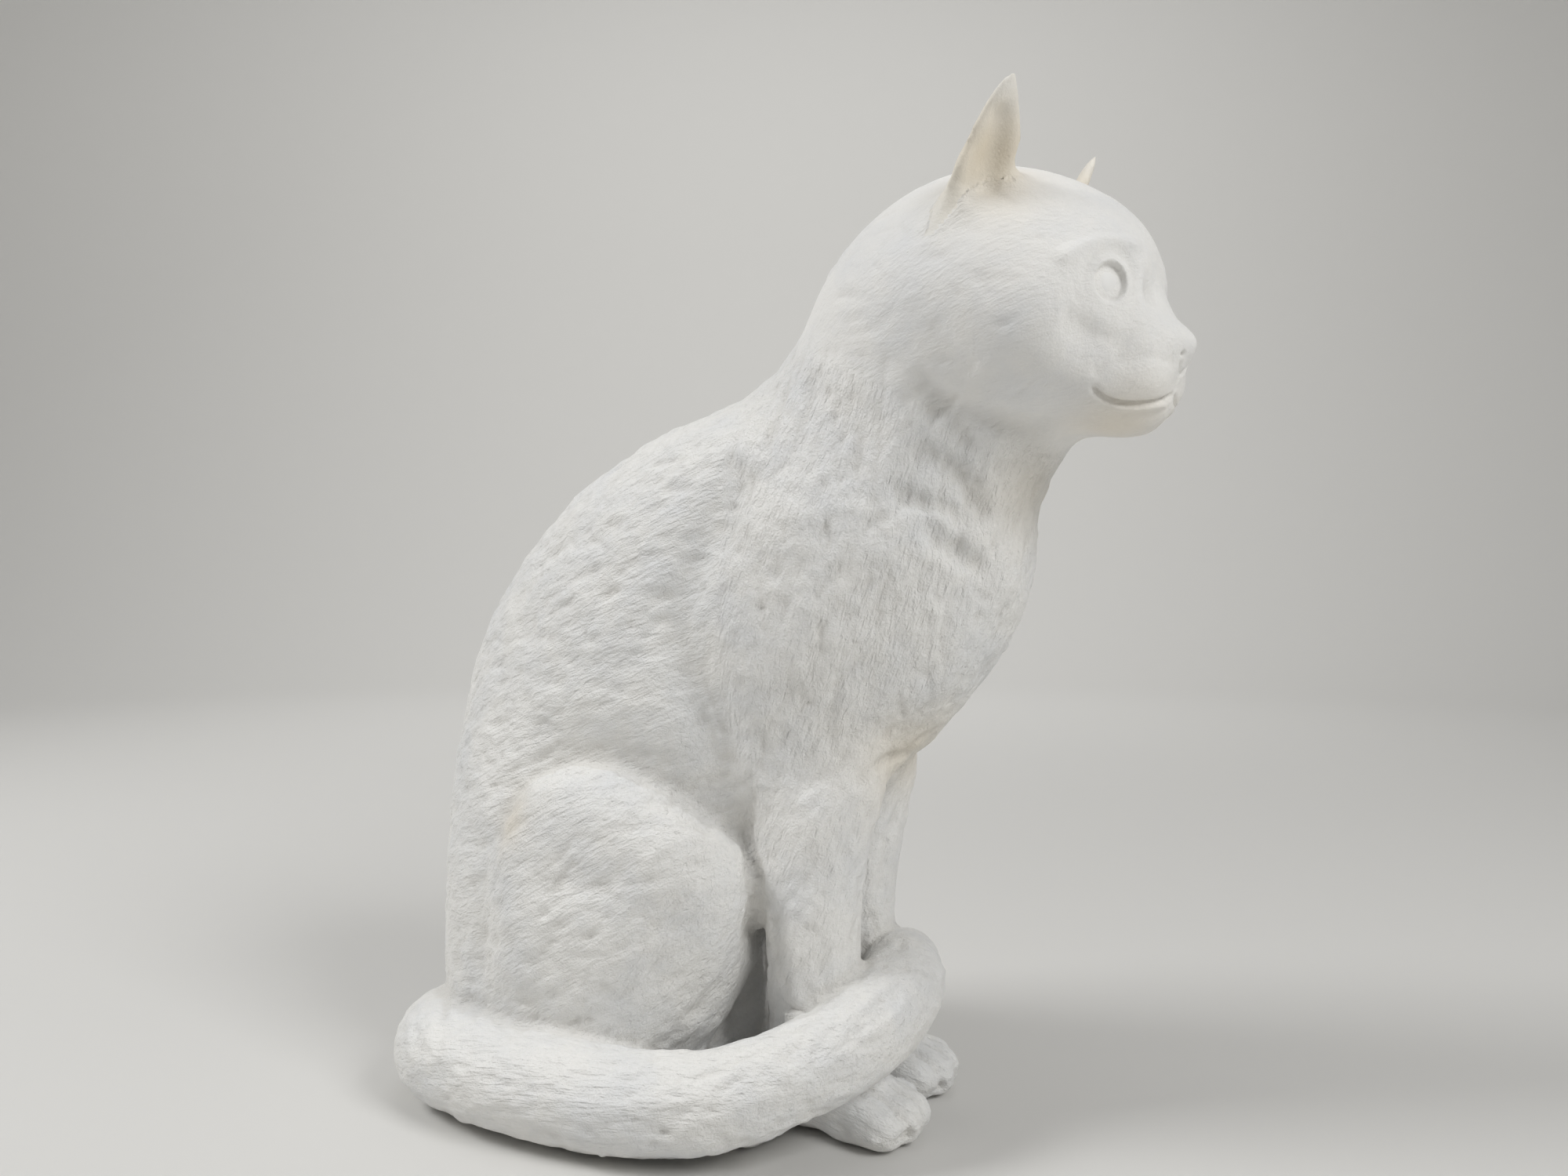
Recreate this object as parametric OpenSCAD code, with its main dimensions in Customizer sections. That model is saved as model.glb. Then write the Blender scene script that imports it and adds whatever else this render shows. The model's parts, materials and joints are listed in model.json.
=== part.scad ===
// Sitting cat figurine: hollow ceramic pieces, luted together before firing.
// X points the way the cat faces, Y to its left, Z up; the origin is the
// centre of the vent hole on the underside.

/* [Figure] */
// Height of the skull above the surface it stands on
figure_h = 285; // [240:1:345]
// Length from rump to nose
figure_l = 248; // [205:1:300]
// Width across the haunches
haunch_w = 112; // [95:1:136]
// Thickness of the cast wall
wall = 6; // [4:0.5:8]

/* [Head] */
// How far the head turns towards its right, in degrees
head_turn = 10; // [0:1:20]
// Height of an ear from its root
ear_h = 38; // [31:1:46]
// Width of an ear at its root
ear_w = 26; // [21:1:32]
// Thickness of the ear's leaf
ear_wall = 4; // [3:0.5:5]
// Diameter of the eyeball
eye_d = 14; // [11:0.5:17]

/* [Legs] */
// Distance between the centres of the forelegs
foreleg_gap = 36; // [30:1:44]
// Diameter of a foreleg at mid height
foreleg_d = 31; // [25:1:37]
// Height at which a foreleg meets its paw
ankle_h = 13; // [10:0.5:16]
// Width of a forepaw across its toes
paw_w = 32; // [26:1:38]
// Diameter of a toe
toe_d = 14; // [11:0.5:17]
// Length of a hind paw
hind_paw_l = 46; // [38:1:56]

/* [Tail] */
// Diameter of the tail beside the haunch
tail_d = 32; // [27:1:38]

/* [Base] */
// Thickness of the slab that closes the underside
base_t = 6; // [4:0.5:9]
// Diameter of the vent hole in the slab
vent_d = 16; // [12:0.5:20]

/* [Hidden] */

// White body, with the tints that the firing leaves
bisque = "#e9e7e4";
bisque_cool = "#dcdde1";
bisque_warm = "#e6dccb";
slab_clay = "#d8cdbb";

// The outlines below are drawn at these sizes and stretched to the figure's
drawn_l = 248;
drawn_w = 112;
drawn_h = 285;
kx = figure_l / drawn_l;
ky = haunch_w / drawn_w;
kz = figure_h / drawn_h;

// Sides of a ring, and rings for each row of an outline
trunk_sides = 36;
haunch_sides = 26;
limb_sides = 18;
tail_sides = 20;
eye_sides = 16;
pad_sides = 14;
row_steps = 3;
body_steps = 2;
limb_steps = 2;

// Which side of the cat a piece is on
right = -1;
left = 1;

// Trunk from base to nose: back x, back z, front x, front z, half width, and
// fullness, which is above 0 where the front is fuller than the back
trunk = [
    [-77, 0, 24, 0, 44, -0.25],
    [-82, 28, 28, 22, 49, -0.25],
    [-84, 60, 31, 50, 49, -0.22],
    [-85, 92, 42, 76, 46, -0.15],
    [-84, 121, 64, 97, 42, -0.05],
    [-77, 148, 87, 119, 41, 0.05],
    [-60, 174, 106, 144, 42, 0.10],
    [-37, 196, 114, 166, 42, 0.10],
    [-8, 213, 115, 181, 40, 0.05],
    [22, 223, 119, 192, 37, 0],
    [41, 240, 123, 199, 36, 0],
    [50, 256, 127, 204, 37, -0.05],
    [65, 272, 133, 205, 39, -0.05],
    [84, 282, 139, 204, 40, -0.05],
    [107, 285, 144, 204, 37, -0.06],
    [129, 278, 148, 205, 29, -0.04],
    [144, 267, 151, 208, 21, 0],
    [151, 256, 154, 212, 16, 0.05],
    [152, 246, 156, 217, 13, 0.1],
    [156, 236, 159, 223, 9, 0.05],
];
last_row = len(trunk) - 1;
// Row where the neck is luted, rows between which the head turns, and the
// last row that the hollow of the head reaches
neck_row = 10;
turn_first_row = 7;
turn_last_row = 12;
cavity_last_row = 15;
// Upright axis that the head turns about
turn_axis_x = 72;
// Bluntness of the nose: how far its last ring is drawn in, and stands out
nose_taper = 3;
nose_bulge = 2;

// Ear: root of its spine, lean of its tip from there, and turn of its leaf
ear_root = [106, 27, 260];
ear_lean = [18, 9];
ear_yaw = 50;
// Ear from root to tip: share of height, of width, and of the roll's depth
ear_rows = [[0, 1, 1.8], [0.2, 0.97, 1.4], [0.4, 0.88, 1.0], [0.6, 0.72, 0.7],
            [0.8, 0.52, 0.5], [0.93, 0.3, 0.35], [1, 0.08, 0.2]];
// Depth of the rolled leaf for its width, and how deep it is set in the skull
ear_roll = 0.31;
ear_set = 8;
ear_steps = 2;
leaf_steps = 6;

// Eyeball centre
eye_at = [141, 19, 242];

// Haunch from the ground up: x, z, half length, outermost y
haunch = [
    [-27, 0, 40, 44], [-25, 14, 42, 48.5], [-19.5, 34, 44.5, 54], [-14, 56, 47, 56],
    [-11, 74, 49.5, 55], [-12, 89, 43, 52], [-14, 102, 33, 47], [-15, 110, 19, 41],
    [-16, 113, 6, 34],
];
// Middle of its rings, and how square they are: 2 is an ellipse
haunch_core_y = 8;
haunch_squareness = 2.8;

// Foreleg from the ground up: x, z, and half length and half width as shares
// of half its diameter
foreleg = [
    [53, 0, 0.95, 0.85], [51, 30, 0.92, 0.86], [50, 55, 1.02, 0.96], [48.5, 76, 1.25, 1.0],
    [51.5, 92, 1.3, 0.95], [57, 106, 1.15, 0.8], [63, 118, 0.7, 0.5],
];

// Set-back of each toe from the foremost
toe_set_back = [4, 0, 0, 4];
// Forepaw: heel and toe line, and how far the instep is behind the toes
forepaw_heel_x = 44;
forepaw_toe_x = 80;
instep_back = 15;
heel_rise = 3;
instep_rise = 8;
knuckle_rise = 5;
// Hind paw: toe line and centre line
hind_toe_x = 43;
hind_y = 31;

// Tail from rump to tip: x, y, lift above the ground, share of its diameter
tail = [
    [-58, -6, 0.5, 0.92], [-69, -16, 0.5, 0.92], [-73, -30, 0.5, 0.94], [-65, -45, 0.5, 0.97],
    [-46, -54, 0.5, 0.98], [-20, -58, 0.5, 0.96], [5, -59, 0.8, 0.94], [30, -56, 3.5, 0.9],
    [50, -48, 10, 0.86], [65, -34.5, 16.5, 0.86], [73, -17, 22, 0.88], [73, 3, 26, 0.86],
    [69, 19, 29, 0.72], [64, 28, 32, 0.48], [61, 32, 35, 0.17],
];

// Vent hole's centre
vent_at = [0, 0];
// How far a cutter passes the face it opens
overcut = 1;

// A point on the smooth curve through rows a, b, c, d, between b and c
function blend4(a, b, c, d, t) =
    (2 * b + (c - a) * t + (2 * a - 5 * b + 4 * c - d) * t * t
     + (3 * b - a - 3 * c + d) * t * t * t) / 2;

// The table's row at position s, which may lie between two rows
function row_at(table, s) =
    let (n = len(table) - 1, i = min(floor(s), n - 1))
    blend4(table[max(i - 1, 0)], table[i], table[i + 1], table[min(i + 2, n)], s - i);

// Smooth step from 0 at a to 1 at b
function ease(a, b, s) =
    let (t = max(0, min(1, (s - a) / (b - a)))) t * t * (3 - 2 * t);

// A point turned about the neck's upright axis
function turned(p, angle) =
    let (x = p[0] - turn_axis_x * kx, c = cos(angle), n = sin(angle))
    [turn_axis_x * kx + x * c + p[1] * n, p[1] * c - x * n, p[2]];

// One ring of the trunk at row s, drawn in by the given depth
function trunk_ring(s, depth) =
    let (q = row_at(trunk, s),
         back = [q[0] * kx, q[1] * kz], front = [q[2] * kx, q[3] * kz],
         mid = (back + front) / 2, half = (front - back) / 2,
         share = max(0.1, 1 - depth / norm(half)),
         width = max(2, q[4] * ky - depth),
         angle = head_turn * ease(turn_first_row, turn_last_row, s))
    [for (i = [0:trunk_sides - 1])
        let (a = 360 * i / trunk_sides, along = share * cos(a),
             across = width * sin(a) * (1 + q[5] * cos(a)))
        turned([mid[0] + half[0] * along, across, mid[1] + half[1] * along], angle)];

// The trunk's foot, upright for the height of the slab
function foot_ring(z, depth) = [for (p = trunk_ring(0, depth)) [p[0], p[1], z]];

// Rings of the trunk between two rows
function trunk_rings(from_row, to_row, steps, depth) =
    [for (i = [0:steps]) trunk_ring(from_row + (to_row - from_row) * i / steps, depth)];

// Faces between ring a and ring b of n points each, numbered from those offsets
function band(a, b, n) =
    [for (i = [0:n - 1]) let (j = (i + 1) % n) each [[a + i, b + i, b + j], [a + i, b + j, a + j]]];

// A closed solid through rings, with flat ends
module loft(rings) {
    n = len(rings[0]);
    last = len(rings) - 1;
    polyhedron(
        points = [for (r = rings) each r],
        faces = concat(
            [[for (i = [0:n - 1]) i]],
            [for (k = [0:last - 1]) each band(k * n, (k + 1) * n, n)],
            [[for (i = [n - 1:-1:0]) last * n + i]]));
}

// One mesh out of several
module one_piece() {
    resize([0, 0, 0]) children();
}

// The body's outer rings, from the foot to the neck
function body_rings() =
    concat([foot_ring(0, 0), foot_ring(base_t, 0)],
           trunk_rings(0.5, neck_row, neck_row * body_steps - 1, 0));

// The ring of a row, moved along the neck by a distance
function moved_ring(s, depth, distance) =
    let (here = trunk_ring(s, depth), next = trunk_ring(s + 0.1, depth))
    [for (i = [0:trunk_sides - 1])
        here[i] + (next[i] - here[i]) / norm(next[i] - here[i]) * distance];

module body_form() {
    loft(body_rings());
}

// Body shell, open at the foot and at the neck
module torso() {
    hollow = concat([foot_ring(-overcut, wall), foot_ring(base_t, wall)],
                    trunk_rings(0.5, neck_row, neck_row - 1, wall),
                    [moved_ring(neck_row, wall, overcut)]);
    color(bisque) one_piece() difference() {
        body_form();
        loft(hollow);
    }
}

module head_form() {
    ahead = [nose_bulge * cos(head_turn), -nose_bulge * sin(head_turn), 0];
    loft(concat(trunk_rings(neck_row, last_row, (last_row - neck_row) * row_steps, 0),
                [[for (p = trunk_ring(last_row, nose_taper)) p + ahead]]));
}

// Head shell with its eye sockets, open at the neck
module head() {
    hollow = concat([moved_ring(neck_row, wall, -overcut)],
                    trunk_rings(neck_row, cavity_last_row, cavity_last_row - neck_row + 3, wall));
    color(bisque) one_piece() difference() {
        head_form();
        loft(hollow);
        for (side = [left, right]) eyeball(side);
    }
}

// Turns a piece with the head
module on_head() {
    translate([turn_axis_x * kx, 0, 0]) rotate([0, 0, -head_turn])
        translate([-turn_axis_x * kx, 0, 0]) children();
}

module eyeball(side) {
    on_head() translate([eye_at[0] * kx, side * eye_at[1] * ky, eye_at[2] * kz])
        sphere(d = eye_d, $fn = eye_sides);
}

module eye(side) {
    color(bisque_cool) one_piece() eyeball(side);
}

// A crescent, closed at the back and open at the front
function crescent(spread, depth, thin) =
    concat([for (i = [0:leaf_steps])
               let (a = 180 * i / leaf_steps) [spread * cos(a), depth * sin(a)]],
           [for (i = [leaf_steps:-1:0])
               let (a = 180 * i / leaf_steps)
               [(spread - thin) * cos(a), (depth - thin) * sin(a) - thin / 4]]);

// One level of an ear
function ear_ring(row, side) =
    let (share = row[0], spread = ear_w / 2 * row[1], depth = ear_w * ear_roll * row[2],
         thin = min(ear_wall, spread * 0.6), c = cos(ear_yaw), n = sin(ear_yaw),
         x = ear_root[0] * kx + ear_lean[0] * share, y = ear_root[1] * ky + ear_lean[1] * share,
         z = ear_root[2] * kz + share * ear_h - (1 - share) * ear_set,
         leaf = crescent(spread, depth, thin))
    [for (p = side == left ? leaf : mirrored(leaf))
        [x - p[0] * c - p[1] * n, side * (y + p[0] * n - p[1] * c), z]];

// Points in the opposite order, for a piece of the other hand
function mirrored(points) = [for (i = [len(points) - 1:-1:0]) points[i]];

module ear_form(side) {
    steps = ear_steps * (len(ear_rows) - 1);
    on_head() loft([for (k = [0:steps]) ear_ring(row_at(ear_rows, k / ear_steps), side)]);
}

module ear(side) {
    color(bisque_warm) one_piece() difference() {
        ear_form(side);
        head_form();
    }
}

// A sine or cosine pushed towards a square's
function squared(v) = sign(v) * pow(abs(v), 2 / haunch_squareness);

// One level of a haunch, rounded outwards from the belly
function haunch_ring(q, side, depth) =
    [for (i = [0:haunch_sides - 1])
        let (a = 360 * i / haunch_sides,
             half = max(1, q[2] * kx - depth), out = (q[3] - haunch_core_y) * ky - depth)
        [q[0] * kx + half * squared(cos(a)), side * haunch_core_y * ky + out * squared(sin(a)),
         q[1] * kz]];

module haunch_form(side, depth = 0) {
    steps = (len(haunch) - 1) * limb_steps;
    loft([for (k = [0:steps]) haunch_ring(row_at(haunch, k / limb_steps), side, depth)]);
}

// What lies on one side of the middle
module on_side(side) {
    intersection() {
        children();
        translate([-figure_l, min(0, side) * figure_l, 0])
            cube([2 * figure_l, figure_l, 2 * figure_h]);
    }
}

// Thigh shell, open underneath and towards the body
module haunch(side) {
    color(bisque) one_piece() on_side(side) difference() {
        haunch_form(side);
        translate([0, 0, -wall]) haunch_form(side, wall);
        body_form();
        tail_form();
        for (leg = [left, right]) foreleg_form(leg);
    }
}

module foreleg_form(side) {
    r = foreleg_d / 2;
    steps = (len(foreleg) - 1) * limb_steps;
    loft([for (k = [0:steps])
        let (q = row_at(foreleg, k / limb_steps))
        [for (i = [0:limb_sides - 1])
            let (a = 360 * i / limb_sides)
            [q[0] * kx + r * q[2] * cos(a), side * foreleg_gap / 2 + r * q[3] * sin(a),
             q[1] * kz]]]);
}

// What lies above a height
module above(z) {
    intersection() {
        children();
        translate([-figure_l, -figure_l, z]) cube([2 * figure_l, 2 * figure_l, 2 * figure_h]);
    }
}

module foreleg(side) {
    color(bisque) one_piece() difference() {
        above(ankle_h) foreleg_form(side);
        body_form();
        tail_form();
        if (side == left) foreleg_form(right);
    }
}

// A ball that rests on the ground at [x, y], squashed to the given height
module pad(x, y, d, h) {
    translate([x, y, h / 2]) scale([1, 1, h / d]) sphere(d = d, $fn = pad_sides);
}

// Toes of a paw, each running back into the foot
module toes(toe_x, y, width, d, run, rise) {
    count = len(toe_set_back);
    pitch = (width - d) / (count - 1);
    for (i = [0:count - 1]) hull() {
        toe_y = y + (i - (count - 1) / 2) * pitch;
        x = toe_x - toe_set_back[i];
        pad(x, toe_y, d, d);
        pad(x - run, (toe_y * 4 + y) / 5, d, d + rise);
    }
}

module forepaw_form(side) {
    y = side * foreleg_gap / 2;
    toe_x = forepaw_toe_x * kx;
    hull() {
        pad(forepaw_heel_x * kx, y, paw_w * 0.75, ankle_h + heel_rise);
        pad(toe_x - instep_back, y, paw_w * 0.85, ankle_h + instep_rise);
    }
    toes(toe_x, y, paw_w, toe_d, instep_back, knuckle_rise);
}

module forepaw(side) {
    color(bisque) one_piece() difference() {
        above(0) forepaw_form(side);
        above(ankle_h) foreleg_form(side);
        tail_form();
        if (side == left) forepaw_form(right);
    }
}

module hind_paw_form(side) {
    y = side * hind_y * ky;
    toe_x = hind_toe_x * kx;
    hull() {
        pad(toe_x - hind_paw_l + toe_d, y, paw_w * 0.6, toe_d);
        pad(toe_x - toe_d, y, paw_w * 0.8, toe_d + heel_rise);
    }
    toes(toe_x, y, paw_w * 0.9, toe_d * 0.85, instep_back, heel_rise);
}

module hind_paw(side) {
    color(bisque) one_piece() difference() {
        hind_paw_form(side);
        haunch_form(side);
        body_form();
        tail_form();
        above(ankle_h) foreleg_form(side);
        forepaw_form(side);
    }
}

// The middle of the tail at a row of its table
function tail_point(q) = [q[0] * kx, q[1] * ky, q[2] * kz + tail_d / 2 * q[3]];

// One ring of the tail, square to its path
function tail_ring(s) =
    let (q = row_at(tail, s), run = tail_point(row_at(tail, s + 0.05))
                                    - tail_point(row_at(tail, max(0, s - 0.05))),
         way = run / norm(run), flat = cross([0, 0, 1], way), across = flat / norm(flat),
         up = cross(way, across), r = tail_d / 2 * q[3])
    [for (i = [0:tail_sides - 1])
        let (a = 360 * i / tail_sides) tail_point(q) + across * r * cos(a) + up * r * sin(a)];

module tail_form() {
    steps = (len(tail) - 1) * row_steps;
    loft([for (k = [0:steps]) tail_ring(min(k / row_steps, len(tail) - 1.001))]);
}

// Tail, a solid rolled coil cut to sit on the rump
module tail() {
    color(bisque) one_piece() difference() {
        tail_form();
        body_form();
    }
}

// Slab that closes the foot of the body, with its vent hole
module base_plate() {
    color(slab_clay) difference() {
        linear_extrude(height = base_t)
            polygon([for (p = foot_ring(0, wall)) [p[0], p[1]]]);
        translate([vent_at[0], vent_at[1], -overcut])
            cylinder(d = vent_d, h = base_t + 2 * overcut, $fn = 48);
    }
}

torso();
head();
ear(left);  // left_ear
ear(right);  // right_ear
eye(left);  // left_eye
eye(right);  // right_eye
haunch(left);  // left_haunch
haunch(right);  // right_haunch
foreleg(left);  // left_foreleg
foreleg(right);  // right_foreleg
forepaw(left);  // left_forepaw
forepaw(right);  // right_forepaw
hind_paw(left);  // left_hind_paw
hind_paw(right);  // right_hind_paw
tail();
base_plate();
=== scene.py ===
"""Sitting cat figurine in matt bisque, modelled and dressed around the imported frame.

The luted clay is one dense surface while it is worked: it is smoothed, pressed, creased and chiselled
as a modeller would, and then cut along its joints into the pieces of the frame.
"""

import json
import logging
import math
from dataclasses import dataclass, field
from enum import Enum
from typing import Iterable, Optional, Sequence

import bmesh
import bpy
import numpy as np
from mathutils import Matrix, Vector, noise
from mathutils.bvhtree import BVHTree
from mathutils.kdtree import KDTree


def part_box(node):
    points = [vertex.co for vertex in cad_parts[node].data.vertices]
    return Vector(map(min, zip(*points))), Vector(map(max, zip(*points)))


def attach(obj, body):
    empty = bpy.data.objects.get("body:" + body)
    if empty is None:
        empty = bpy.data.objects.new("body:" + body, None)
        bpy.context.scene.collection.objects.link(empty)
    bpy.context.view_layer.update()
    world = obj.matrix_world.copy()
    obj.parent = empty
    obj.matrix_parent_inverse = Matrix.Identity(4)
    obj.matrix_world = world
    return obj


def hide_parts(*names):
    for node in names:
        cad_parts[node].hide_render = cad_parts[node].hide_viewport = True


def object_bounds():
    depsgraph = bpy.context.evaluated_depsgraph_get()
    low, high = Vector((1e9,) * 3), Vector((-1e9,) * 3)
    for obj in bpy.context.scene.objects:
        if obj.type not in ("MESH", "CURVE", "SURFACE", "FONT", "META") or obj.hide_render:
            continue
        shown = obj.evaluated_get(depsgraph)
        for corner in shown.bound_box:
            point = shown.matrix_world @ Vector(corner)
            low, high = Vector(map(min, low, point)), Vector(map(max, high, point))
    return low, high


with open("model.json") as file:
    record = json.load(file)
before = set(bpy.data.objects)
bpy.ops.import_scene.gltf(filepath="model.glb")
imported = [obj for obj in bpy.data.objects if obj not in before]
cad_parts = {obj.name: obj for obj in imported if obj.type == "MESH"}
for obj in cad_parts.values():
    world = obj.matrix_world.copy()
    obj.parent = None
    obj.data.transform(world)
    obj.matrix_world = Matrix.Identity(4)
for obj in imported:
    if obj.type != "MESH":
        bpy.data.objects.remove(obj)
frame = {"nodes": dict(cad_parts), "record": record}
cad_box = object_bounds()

log = logging.getLogger("cat_figurine")

Point = tuple[float, float, float]
Path = Sequence[Point]

MM = 0.001
BODY = "root"
SEED = 20


class Side(Enum):
    """A side of the cat, as the sign of Y in the frame."""

    RIGHT = -1
    LEFT = 1


class Family(Enum):
    """The kinds of clay piece, which share their seams and their surface."""

    TORSO = "torso"
    HEAD = "head"
    EAR = "ear"
    EYE = "eye"
    HAUNCH = "haunch"
    FORELEG = "foreleg"
    FOREPAW = "forepaw"
    HIND_PAW = "hind_paw"
    TAIL = "tail"
    SLAB = "base_plate"


def family_of(node: str) -> Family:
    """The family that a node's name belongs to.

    Args:
        node: name of a node of the frame.

    Returns:
        Its family, which is the node's name without its side.
    """
    return Family(node.removeprefix("left_").removeprefix("right_"))


def linear(colour: str) -> tuple[float, float, float, float]:
    """Turns an sRGB hex colour into the linear colour that a shader takes.

    Args:
        colour: six hex digits, with or without a leading #.

    Returns:
        Linear red, green, blue and an alpha of 1.
    """
    digits = colour.lstrip("#")
    parts = [int(digits[i : i + 2], 16) / 255 for i in (0, 2, 4)]
    r, g, b = [c / 12.92 if c <= 0.04045 else ((c + 0.055) / 1.055) ** 2.4 for c in parts]
    return (r, g, b, 1.0)


def centre(node: str) -> np.ndarray:
    """The middle of a node's box, in metres."""
    low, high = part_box(node)
    return np.array((low + high) / 2)


def falloff(distance: np.ndarray, width: float) -> np.ndarray:
    """A bell curve that is 1 at distance 0."""
    return np.exp(-((distance / width) ** 2))


def ramp(values: np.ndarray, start: float, end: float) -> np.ndarray:
    """Rises smoothly from 0 at start to 1 at end."""
    t = np.clip((values - start) / (end - start), 0.0, 1.0)
    return t * t * (3 - 2 * t)


@dataclass
class Axes:
    """A set of axes that tool marks are laid out on, with distances in millimetres.

    Attributes:
        origin: the place they start from, in metres.
        forward: unit vector ahead.
        left: unit vector to the cat's left.
    """

    origin: np.ndarray
    forward: np.ndarray
    left: np.ndarray

    def place(self, path: Path, side: Side = Side.RIGHT) -> np.ndarray:
        """Points of a path in metres in the frame.

        Args:
            path: points (forward, outwards, up) in millimetres.
            side: the side of the cat that outwards leads to.

        Returns:
            One row for each point.
        """
        marks = np.array(path, float) * MM
        up = np.array((0.0, 0.0, 1.0))
        return (
            self.origin
            + marks[:, :1] * self.forward
            + marks[:, 1:2] * side.value * self.left
            + marks[:, 2:] * up
        )


def mesh_of(name: str, bm: bmesh.types.BMesh) -> bpy.types.Mesh:
    """Turns worked geometry into a mesh, and frees it.

    Args:
        name: the new mesh's name.
        bm: the geometry.

    Returns:
        The mesh.
    """
    data = bpy.data.meshes.new(name)
    bm.to_mesh(data)
    bm.free()
    return data


def placed(name: str, data: bpy.types.ID) -> bpy.types.Object:
    """Puts a new object into the scene.

    Args:
        name: the object's name.
        data: its mesh, lamp or camera.

    Returns:
        The object.
    """
    obj = bpy.data.objects.new(name, data)
    bpy.context.scene.collection.objects.link(obj)
    return obj


def gather(items: bpy.types.bpy_prop_collection, key: str, width: int, kind: type) -> np.ndarray:
    """Reads one property of every item of a mesh.

    Args:
        items: the mesh's points, edges, corners, faces or an attribute's data.
        key: the property's name.
        width: how many numbers it holds.
        kind: the type that the numbers are read as.

    Returns:
        One row for each item, or one number where the width is 1.
    """
    values = np.empty(len(items) * width, kind)
    items.foreach_get(key, values)
    return values if width == 1 else values.reshape(-1, width)


@dataclass(frozen=True)
class Strokes:
    """One kind of short tool mark, with half sizes in millimetres.

    Attributes:
        count: how many are cut.
        length: half length.
        width: half width.
        depth: depth.
        spread: how far one may turn from the lie of the fur, in radians.
    """

    count: int
    length: float
    width: float
    depth: float
    spread: float


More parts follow.
